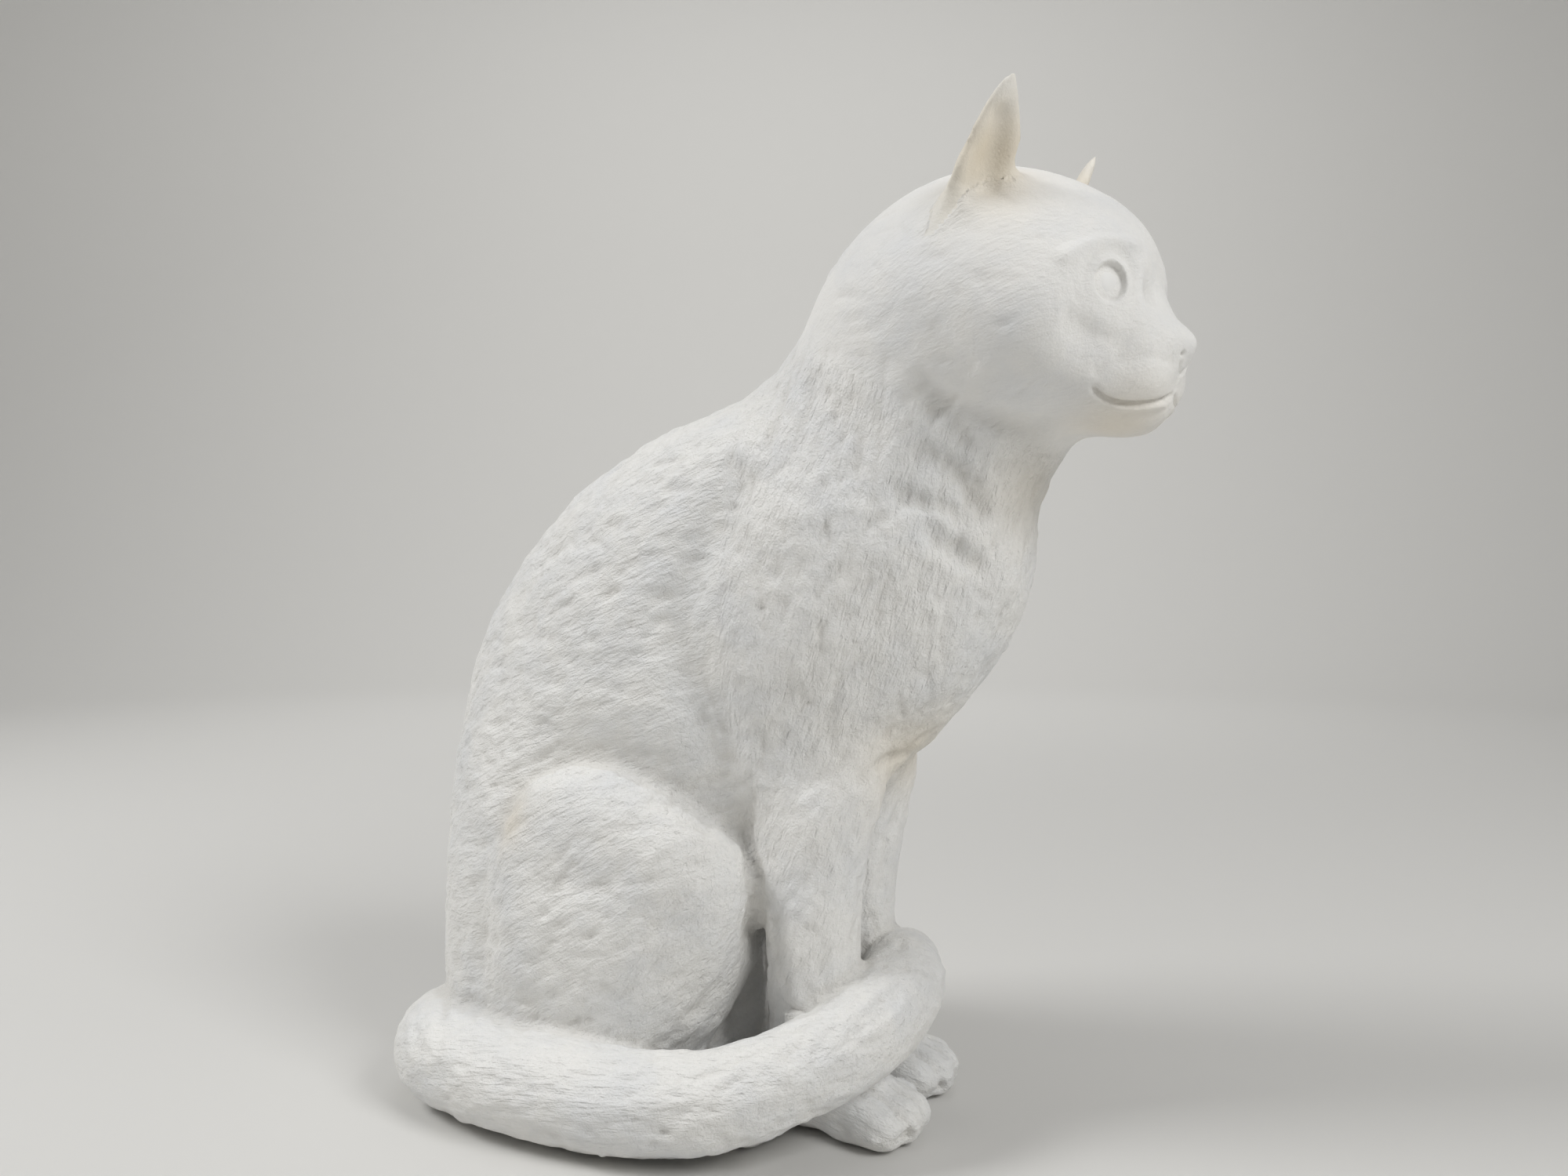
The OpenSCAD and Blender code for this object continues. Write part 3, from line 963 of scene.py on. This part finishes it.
@dataclass
class Trunk:
    """Chest, shoulders and flanks, in millimetres in the frame."""

    axes: Axes
    valley: Path = ((46, 36, 206), (34, 41, 188), (22, 41, 170), (16, 42, 153), (21, 41, 136), (27, 39, 122),
                    (28, 37, 109), (30, 31, 93), (33, 32, 82))

    def work(self, clay: Clay) -> None:
        """Swells the shoulders and elbows and presses the valley behind them.

        Args:
            clay: the worked figure.
        """
        masses: list[tuple[Point, float, float]] = [
            ((52, 43, 148), 24, 1.6),
            ((46, 36, 98), 13, 1.2),
            ((-20, 44, 150), 26, 0.8),
            ((96, 22, 132), 14, 1.2),
            ((114, 12, 160), 9, 0.9),
            ((97, 26, 159), 5, -0.9),
            ((50, 34, 178), 9, 1.0),
        ]
        for side in Side:
            for at, radius, height in masses:
                clay.swell(self.axes.place([at], side)[0], radius * MM, height * MM)
            clay.groove(self.axes.place(self.valley, side), 8.5 * MM, 4.2 * MM, 0.25)
            clay.groove(self.axes.place([(66, 27, 104), (72, 22, 110), (77, 9, 111), (79, 0, 112)], side),
                        2.2 * MM, 1.4 * MM)
        clay.settle()
        for side in Side:
            clay.groove(self.axes.place(self.valley[4:7], side), 0.9 * MM, -0.7 * MM, 0.3)
        clay.settle()


@dataclass
class Thighs:
    """The haunches' soft hollows and swellings, in millimetres in the frame."""

    axes: Axes

    def work(self, clay: Clay) -> None:
        """Models the thigh's muscles.

        Args:
            clay: the worked figure.
        """
        for side in Side:
            rear = self.axes.place([(-54, 42, 92), (-52, 48, 66), (-46, 54, 40)], side)
            clay.groove(rear, 6 * MM, 1.0 * MM)
            ridge = self.axes.place([(-28, 54, 72), (-8, 56, 76), (12, 54, 72)], side)
            clay.groove(ridge, 6 * MM, 0.8 * MM, 0.4)
            clay.swell(self.axes.place([(-14, 56, 52)], side)[0], 14 * MM, 0.8 * MM)
            clay.swell(self.axes.place([(-36, 50, 78)], side)[0], 8 * MM, 0.7 * MM)
        clay.settle()


@dataclass
class Paws:
    """The toes, with sizes in millimetres."""

    toe_count: int = 4
    groove_half_width: float = 1.1
    groove_depth: float = 2.2

    def work(self, clay: Clay) -> None:
        """Cuts the grooves between the toes of every paw.

        Args:
            clay: the worked figure.
        """
        for name, back, top in (("forepaw", 24.0, 4.0), ("hind_paw", 18.0, 3.0)):
            for side in Side:
                low, high = (np.array(c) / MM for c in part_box(f"{side.name.lower()}_{name}"))
                pitch = (high[1] - low[1]) / self.toe_count
                for k in range(1, self.toe_count):
                    y = low[1] + k * pitch
                    middle = (low[1] + high[1]) / 2
                    inward = (middle - y) * 0.2
                    path = np.array([
                        (high[0] - 2.5, y, 2.0),
                        (high[0] - 3.0, y, 7.0),
                        (high[0] - 8.0, y, 12.0),
                        (high[0] - 15.0, y + inward * 0.5, high[2] - top),
                        (high[0] - back, y + inward, high[2]),
                    ]) * MM
                    clay.groove(path, self.groove_half_width * MM, self.groove_depth * MM, 0.1)
        clay.settle()


BESIDE_TAIL = (Family.HAUNCH, Family.TORSO, Family.FORELEG, Family.FOREPAW, Family.HIND_PAW)

# depth and half width of the crease at each kind of seam, in millimetres
SEAMS: dict[frozenset[Family], tuple[float, float]] = {
    frozenset((Family.HAUNCH, Family.FORELEG)): (2.0, 1.6),
    **{frozenset((Family.TAIL, other)): (0.8, 1.8) for other in BESIDE_TAIL},
    frozenset((Family.HAUNCH, Family.HIND_PAW)): (0.5, 2.0),
    frozenset((Family.FORELEG,)): (1.8, 1.2),
    frozenset((Family.FOREPAW,)): (1.8, 1.2),
    frozenset((Family.FOREPAW, Family.HIND_PAW)): (1.2, 1.2),
    frozenset((Family.HAUNCH, Family.TORSO)): (1.2, 1.6),
}

# seams with little clay on one side, which tear if they are pressed hard
NARROW = [pair for pair in SEAMS if pair & {Family.TAIL, Family.HIND_PAW}]


class Figure:
    """The whole cat: it lutes the clay, works its surface and notes its stains and painted shade.

    Attributes:
        GRAIN: spacing of the surface's points.
        VENT_PLUG: width of the plug that fills the vent hole while the clay is worked.
        MUZZLE: middle of the finer clay, on the face's axes.
        MUZZLE_REACH: how far the finer clay goes.
        CALM_FROM: where fur begins round the muzzle, and where it is full.
        PRESS: how far the body is pressed in beside the haunch.
        LIFT: how far the haunch stands out.
        LUMPS: lumps in a metre of clay.
        LONG_STROKES: the fur's main marks.
        SHORT_STROKES: the finer marks between them.
        PITS: small round dents, turned any way.
        SMALL_HOLLOW: depth of a tool mark that is darkened fully, and its share of the painted shade and
            dust.
        LARGE_HOLLOW: the same for folds and seams.
    """

    GRAIN = 1.2
    VENT_PLUG = 18
    MUZZLE: Point = (4, 0, -10)
    MUZZLE_REACH = 40
    CALM_FROM = (36, 52)
    PRESS = 4.4
    LIFT = 2.8
    LUMPS = 55
    SMALL_HOLLOW = (0.14, 0.07)
    LARGE_HOLLOW = (0.9, 0.2)
    LONG_STROKES = Strokes(5600, 6.5, 1.5, 0.34, 0.28)
    SHORT_STROKES = Strokes(4200, 3.2, 1.2, 0.28, 0.4)
    PITS = Strokes(500, 1.6, 1.3, 0.5, 3.0)

    def __init__(self) -> None:
        """Takes its places from the frame."""
        self.clay = Clay(grain=self.GRAIN * MM)
        right, left = centre("right_eye"), centre("left_eye")
        across = left - right
        across[2] = 0
        across /= np.linalg.norm(across)
        forward = np.array((across[1], -across[0], 0.0))
        self.face_axes = Axes((right + left) / 2, forward, across)
        self.axes = Axes(np.zeros(3), np.array((1.0, 0.0, 0.0)), np.array((0.0, 1.0, 0.0)))
        self.head_lie = math.radians(70)

    def lute(self) -> None:
        """Joins the pieces and wipes the joints."""
        clay = self.clay
        slab_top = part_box("base_plate")[1].z
        muzzle = self.face_axes.place([self.MUZZLE])[0]
        clay.lute(sorted(frame["nodes"]), self.VENT_PLUG * MM, slab_top, muzzle, self.MUZZLE_REACH * MM)
        clay.mark_pieces()
        crisp = clay.seam_distance(SEAMS, 8 * MM)
        rear = ramp(-clay.co[:, 0], 20 * MM, 45 * MM) * clay.of_family(Family.HAUNCH, Family.TORSO)
        keep = ramp(crisp, 0.5 * MM, 6 * MM)
        keep = np.maximum(keep, rear * ramp(clay.co[:, 2], 25 * MM, 45 * MM))
        ears = clay.of_family(Family.EAR)
        paws = clay.of_family(Family.FOREPAW, Family.HIND_PAW)
        clay.relax(np.full(len(clay.co), 0.6), 5)
        clay.relax(np.where(ears, 0.12, np.where(paws, 0.04, 0.75)) * keep, 32)
        soft = clay.seam_distance(
            [frozenset((Family.TORSO, Family.FORELEG)), frozenset((Family.HEAD, Family.EAR)),
             frozenset((Family.FORELEG, Family.FOREPAW))], 16 * MM)
        blend = 1 - ramp(soft, 3 * MM, 14 * MM)
        blend[ears] *= 0.6 * (1 - ramp(soft[ears], 2 * MM, 7 * MM))
        clay.relax(blend * keep, 50)
        clay.index()

    def stand_out(self) -> None:
        """Stands the haunches out from the body behind their top and front edges."""
        clay = self.clay
        seams = [
            frozenset((Family.HAUNCH, Family.TORSO)),
            frozenset((Family.HAUNCH, Family.FORELEG)),
        ]
        away = clay.seam_distance(seams, 34 * MM)
        front = 1 - ramp(-clay.co[:, 0], 24 * MM, 52 * MM)
        press = self.PRESS * MM * falloff(away, 10 * MM) * front
        lift = self.LIFT * MM * ramp(away, 0, 9 * MM) * (1 - ramp(away, 12 * MM, 33 * MM)) * front
        shift = np.where(clay.of_family(Family.HAUNCH), lift, 0.0)
        shift -= np.where(clay.of_family(Family.TORSO), press, 0.0)
        shift -= np.where(clay.of_family(Family.FORELEG), 0.4 * press, 0.0)
        narrow = clay.seam_distance(NARROW, 20 * MM)
        shift *= ramp(narrow, 4 * MM, 16 * MM)
        clay.co += clay.normal * shift[:, None]
        clay.settle()
        clay.relax(np.where(away < 4 * MM, 0.5, 0.15), 3)

    def crease(self) -> None:
        """Sharpens the seams that the modeller left as creases."""
        clay = self.clay
        fade = 1 - ramp(-clay.co[:, 0], 20 * MM, 44 * MM)
        for pair, (depth, width) in SEAMS.items():
            d = clay.seam_distance([pair], 4 * width * MM)
            press = depth * MM * falloff(d, width * MM)
            press[d >= 3.9 * width * MM] = 0
            if pair == frozenset((Family.HAUNCH, Family.TORSO)):
                press *= fade
            clay.co -= clay.normal * press[:, None]
        clay.settle()
        narrow = clay.seam_distance(NARROW, 6 * MM)
        clay.relax(0.5 * (1 - ramp(narrow, 1 * MM, 5 * MM)), 5)

    def flow(self) -> np.ndarray:
        """The lie of the fur over the whole figure.

        Returns:
            A vector for each point.
        """
        clay = self.clay
        lie = np.tile(np.array((-0.3, 0.0, -1.0)), (len(clay.co), 1))
        head = clay.of_family(Family.HEAD, Family.EAR)
        nose = self.face_axes.place([(22, 0, -16)])[0]
        lie[head] = clay.co[head] - nose
        flank = clay.of_family(Family.TORSO) & (clay.co[:, 0] < 30 * MM)
        lie[flank] = (0.92, 0.0, 0.35)
        haunch = clay.of_family(Family.HAUNCH)
        lie[haunch] = (0.85, 0.0, 0.5)
        legs = clay.of_family(Family.FORELEG)
        lie[legs] = (0.4, 0.0, 0.9)
        tail = clay.of_family(Family.TAIL)
        lie[tail] = np.cross(np.array((0.0, 0.0, 1.0)), clay.co[tail])
        lie[tail, 2] += 0.1 * np.linalg.norm(lie[tail], axis=1)
        paws = clay.of_family(Family.FOREPAW, Family.HIND_PAW)
        lie[paws] = (1.0, 0.0, -0.3)
        return lie

    def texture(self) -> None:
        """Lumps, chisel strokes and pits over the coat."""
        clay = self.clay
        rng = np.random.default_rng(SEED + 1)
        calm = clay.of_family(Family.HEAD, Family.EAR)
        height = np.array([noise.fractal(Vector(p * self.LUMPS), 0.9, 2.1, 3) for p in clay.co])
        chest = clay.of_family(Family.TORSO) & (clay.co[:, 0] > 34 * MM)
        clay.co += clay.normal * (height * np.where(calm, 0.12, np.where(chest, 0.75, 0.5)) * MM)[:, None]
        clay.settle()
        lie = self.flow()
        base = np.where(clay.of_family(Family.EAR), 0.1, 1.0)
        base[clay.co[:, 2] < 3 * MM] = 0
        front = np.linalg.norm(clay.co - self.face_axes.place([self.MUZZLE])[0], axis=1)
        base *= ramp(front, self.CALM_FROM[0] * MM, self.CALM_FROM[1] * MM)
        coat = np.where(calm, 0.14, 1.0) * base
        clay.chisel(coat, lie, rng, self.LONG_STROKES)
        clay.chisel(coat, lie, rng, self.SHORT_STROKES)
        pits = np.where(calm, 0.1, 1.0) * base
        clay.chisel(pits, lie, rng, self.PITS)
        clay.co[:, 2] = np.maximum(clay.co[:, 2], 0.0)
        clay.settle()

    def stain_and_shade(self) -> None:
        """Notes the painted shade and dust in hollows and creases, where the cream body shows, and how the
        brush marks lie.
        """
        clay = self.clay
        lie = self.flow()
        fine = clay.spread(clay.spread(clay.co))
        broad = fine
        for _ in range(14):
            broad = clay.spread(broad)
        a, b = clay.edges.T
        run = np.linalg.norm(clay.co[a] - clay.co[b], axis=1)
        grain = np.bincount(a, run, len(clay.co)) + np.bincount(b, run, len(clay.co))
        finer = (clay.grain / (grain / clay.degree)) ** 2
        small_depth, small_share = self.SMALL_HOLLOW
        large_depth, large_share = self.LARGE_HOLLOW
        # painted shade and dust: darker in small tool marks and in broad folds and seams, by how far the
        # surface sinks
        small = ((fine - clay.co) * clay.normal).sum(1) * finer / (small_depth * MM)
        large = ((broad - clay.co) * clay.normal).sum(1) / (large_depth * MM)
        clay.note("hollow", small_share * np.clip(small, 0, 1) + large_share * np.clip(large, 0, 1))
        calm = clay.of_family(Family.HEAD)
        chest = clay.of_family(Family.TORSO) & (clay.co[:, 0] > 30 * MM)
        angle = np.arctan2(lie[:, 0], lie[:, 2])
        angle[calm] = self.head_lie
        clay.note_faces("lie", angle)
        quiet = np.where(calm, 0.42, np.where(chest, 1.15, 1.0))
        for _ in range(8):
            quiet = clay.spread(quiet)
        quiet[clay.of_family(Family.EAR)] = 0.3
        clay.note("coat", quiet)
        spots: list[tuple[np.ndarray, float, float]] = []
        for side in Side:
            spots += [
                (self.face_axes.place([(-24, 32, 36)], side)[0], 14, 0.9),
                (self.face_axes.place([(2, 10, -38)], side)[0], 14, 0.55),
                (self.axes.place([(78, 10, 112)], side)[0], 16, 0.55),
                (self.axes.place([(-36, 48, 90)], side)[0], 9, 0.5),
                (self.axes.place([(112, 10, 190)], side)[0], 14, 0.35),
            ]
        cream = np.zeros(len(clay.co))
        for at, radius, strength in spots:
            cream = np.maximum(cream, strength * falloff(np.linalg.norm(clay.co - at, axis=1), radius * MM))
        clay.note("cream", np.clip(cream, 0, 1))
        clay.note_normals()


@dataclass
class Pieces:
    """Cuts the worked clay into closed pieces and dresses them."""

    clay: Clay
    walls: dict[Family, float] = field(default_factory=lambda: {
        Family.TORSO: 4.0, Family.HEAD: 4.0, Family.HAUNCH: 3.5, Family.EAR: 0.5, Family.FORELEG: 3.0,
        Family.FOREPAW: 2.0, Family.HIND_PAW: 2.0, Family.TAIL: 4.0,
    })
    most_triangles: int = 190000
    thinned: float = 0.56

    def cut(self, slots: dict[str, str], materials: dict[str, bpy.types.Material]) -> None:
        """Cuts, closes and dresses every piece.

        Args:
            slots: the record's material slot for each node.
            materials: the material for each slot.
        """
        for number, name in enumerate(self.clay.names):
            family = family_of(name)
            if family in (Family.EYE, Family.SLAB):
                continue
            skin = self.clay.cut(number, f"{name}_clay")
            piece = self.close(skin, self.walls[family] * MM)
            piece.data.materials.append(materials[slots[name]])
            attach(piece, BODY)
            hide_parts(name)
            log.info("%s: %d faces", piece.name, len(piece.data.polygons))

    def close(self, obj: bpy.types.Object, wall: float) -> bpy.types.Object:
        """Gives a skin its wall and its own shading.

        Args:
            obj: the open skin.
            wall: thickness of the wall, in metres.

        Returns:
            The same object, closed.
        """
        inner = obj.vertex_groups.new(name="inner")
        shell = obj.modifiers.new("wall", "SOLIDIFY")
        shell.thickness = wall
        shell.offset = -1
        shell.use_rim = True
        shell.shell_vertex_group = inner.name
        if 4 * len(obj.data.polygons) > self.most_triangles:
            thin = obj.modifiers.new("thin", "DECIMATE")
            thin.ratio = self.thinned
            thin.vertex_group = inner.name
        data = baked(obj)
        obj.modifiers.clear()
        obj.data = data
        data.name = obj.name
        points = gather(data.vertices, "co", 3, np.float32)
        points[:, 2] = np.maximum(points[:, 2], 0.0)
        data.vertices.foreach_set("co", points.ravel())
        data.shade_smooth()
        skin = gather(data.attributes["skin"].data, "vector", 3, np.float32)
        outer = np.ones(len(points), bool)
        group = obj.vertex_groups["inner"].index
        for v in data.vertices:
            if any(g.group == group and g.weight > 0.5 for g in v.groups):
                outer[v.index] = False
        corners = gather(data.loops, "vertex_index", 1, np.int32)
        starts = gather(data.polygons, "loop_start", 1, np.int32)
        sizes = gather(data.polygons, "loop_total", 1, np.int32)
        whole = np.minimum.reduceat(outer[corners], starts)
        outer_corner = np.repeat(whole, sizes)
        wanted = np.where(outer_corner[:, None], skin[corners], 0.0)
        data.normals_split_custom_set(wanted.tolist())
        data.attributes.remove(data.attributes["skin"])
        obj.vertex_groups.clear()
        return obj


@dataclass
class Eyes:
    """Smooth balls that show between the lids, with sizes in millimetres."""

    face: Face
    depth: float = 3.1
    hidden: float = 1.3
    sunk: float = 0.9

    def build(self, slot: str, material: bpy.types.Material) -> None:
        """Makes both eyes.

        Args:
            slot: the record's slot for the eyes; not used.
            material: their material.
        """
        for side, (heart, out, across, up) in self.face.eye_hearts.items():
            name = f"{side.name.lower()}_eye"
            wide, high = (half * self.hidden * MM for half in self.face.eye_half)
            bm = bmesh.new()
            bmesh.ops.create_icosphere(bm, subdivisions=5, radius=1.0)
            bmesh.ops.scale(bm, verts=bm.verts[:], vec=(wide, high, self.depth * MM))
            bmesh.ops.rotate(
                bm, verts=bm.verts[:], cent=Vector(),
                matrix=Matrix.Rotation(math.radians(self.face.lid_slant) * side.value, 3, "Z"),
            )
            heading = Matrix((across, up, out)).transposed()
            bmesh.ops.rotate(bm, verts=bm.verts[:], cent=Vector(), matrix=heading)
            bmesh.ops.translate(bm, verts=bm.verts[:], vec=Vector(heart - out * self.sunk * MM))
            data = mesh_of(f"{name}_ball", bm)
            data.shade_smooth()
            for layer in ("cream", "hollow", "coat", "lie"):
                data.attributes.new(layer, "FLOAT", "POINT")
            piece = placed(f"{name}_ball", data)
            data.materials.append(material)
            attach(piece, BODY)
            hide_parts(name)
            log.info("%s: %d faces", piece.name, len(data.polygons))


@dataclass
class Studio:
    """The pale floor, the soft lights and the camera, in metres."""

    floor_size: float = 9.0
    sweep_from: float = 1.6
    sweep_radius: float = 1.2
    camera_at: Point = (0.1761, -0.3514, 0.162)
    camera_turn: float = 22.0
    lens: float = 27.0
    sensor: float = 36.0
    grid: int = 120
    room_light: float = 0.15

    def build(self) -> None:
        """Sets the stage."""
        bm = bmesh.new()
        bmesh.ops.create_grid(bm, x_segments=self.grid, y_segments=self.grid, size=self.floor_size / 2)
        for v in bm.verts:
            reach = max(v.co.length, 1e-6)
            past = reach - self.sweep_from
            turn = min(max(past / self.sweep_radius, 0.0), math.pi / 2)
            if past > 0:
                v.co *= (self.sweep_from + self.sweep_radius * math.sin(turn)) / reach
                v.co.z = self.sweep_radius * (1 - math.cos(turn)) + max(past - turn * self.sweep_radius, 0.0)
        data = mesh_of("floor", bm)
        data.shade_smooth()
        floor = placed("floor", data)
        data.materials.append(StudioFloor().make())
        heart = Vector(((cad_box[0][0] + cad_box[1][0]) / 2, 0, (cad_box[0][2] + cad_box[1][2]) / 2))
        self.lamp("key", Vector((-0.9, -0.5, 1.0)), heart, 0.45, 9.0)
        self.lamp("fill", Vector((1.0, -0.4, 0.9)), heart, 0.5, 7.4)
        self.lamp("top", Vector((0.05, 0.0, 1.4)), heart, 0.8, 2.5)
        behind = Matrix.Rotation(math.radians(self.camera_turn), 3, "Z") @ Vector((0.0, 1.0, 0.0))
        hung = behind * 1.2 + Vector((0, 0, 1.6))
        wall = behind * 2.6 + Vector((0, 0, 0.6))
        self.lamp("backdrop", hung, wall, 1.5, 17.0)
        world = bpy.data.worlds.new("room")
        bpy.context.scene.world = world
        world.use_nodes = True
        backdrop = world.node_tree.nodes["Background"]
        backdrop.inputs["Color"].default_value = (1.0, 1.0, 1.0, 1.0)
        backdrop.inputs["Strength"].default_value = self.room_light
        data = bpy.data.cameras.new("camera")
        data.lens = self.lens
        data.sensor_width = self.sensor
        data.clip_start = 0.01
        camera = placed("camera", data)
        camera.location = self.camera_at
        camera.rotation_euler = (math.radians(90), 0, math.radians(self.camera_turn))
        bpy.context.scene.camera = camera
        bpy.context.scene.view_settings.view_transform = "Standard"

    def lamp(self, name: str, at: Vector, aim: Vector, size: float, power: float) -> None:
        """Hangs one softbox.

        Args:
            name: the lamp's name.
            at: where it hangs.
            aim: what it points at.
            size: width of its square face.
            power: its power in watts.
        """
        data = bpy.data.lights.new(name, "AREA")
        data.size = size
        data.energy = power
        lamp = placed(name, data)
        lamp.location = at
        lamp.rotation_euler = (aim - at).to_track_quat("-Z", "Y").to_euler()


def slots_by_node() -> dict[str, str]:
    """The record's material slot for each node.

    Returns:
        Slot names by node name.
    """
    parts = frame["record"]["subparts"]
    return {part["node"]: part["material_slot"] for part in parts}


def main() -> None:
    """Builds the figure and its stage in order."""
    logging.basicConfig(level=logging.INFO, format="%(message)s")
    slots = slots_by_node()
    materials = {
        # brushed white slip: chalky, nearly neutral white with short fur strokes
        "body_bisque": Bisque("bisque_white_slip").make(),
        # thin wash on the ears: the warm body glows through the white
        "ear_bisque": Bisque("bisque_cream_wash", white="#efece4").make(),
        # rubbed smooth before firing: a softer sheen than the coat's, with broad patches
        "eye_bisque": Bisque("bisque_burnished", roughness=0.5, patch_mm=40.0).make(),
        # thin slip on the paws: the coat's white, on its own slot
        "paw_bisque": Bisque("bisque_thin_slip").make(),
        # slip drawn along the tail: longer strokes than the coat's
        "tail_bisque": Bisque("bisque_brushed_slip", stroke_length=7.0).make(),
        # bare fired clay of the slab: warm and darker, with no slip
        "slab_clay": Bisque("raw_slab_clay", white="#d8cdbb", cool="#cbbfaa", cream="#c9b898").make(),
    }
    figure = Figure()
    figure.lute()
    log.info("luted: %d points", len(figure.clay.co))
    face = Face(figure.face_axes)
    face.mounds(figure.clay)
    Neck(figure.axes).work(figure.clay)
    Trunk(figure.axes).work(figure.clay)
    Thighs(figure.axes).work(figure.clay)
    figure.stand_out()
    figure.crease()
    Paws().work(figure.clay)
    face.ears(figure.clay)
    face.lines(figure.clay)
    face.sockets(figure.clay)
    figure.texture()
    figure.stain_and_shade()
    Pieces(figure.clay).cut(slots, materials)
    Eyes(face).build(slots["left_eye"], materials[slots["left_eye"]])
    slab = frame["nodes"]["base_plate"]
    slab.data.materials.clear()
    slab.data.materials.append(materials[slots["base_plate"]])
    log.info("base_plate: dressed in raw clay")
    Studio().build()


if __name__ == "__main__":
    main()
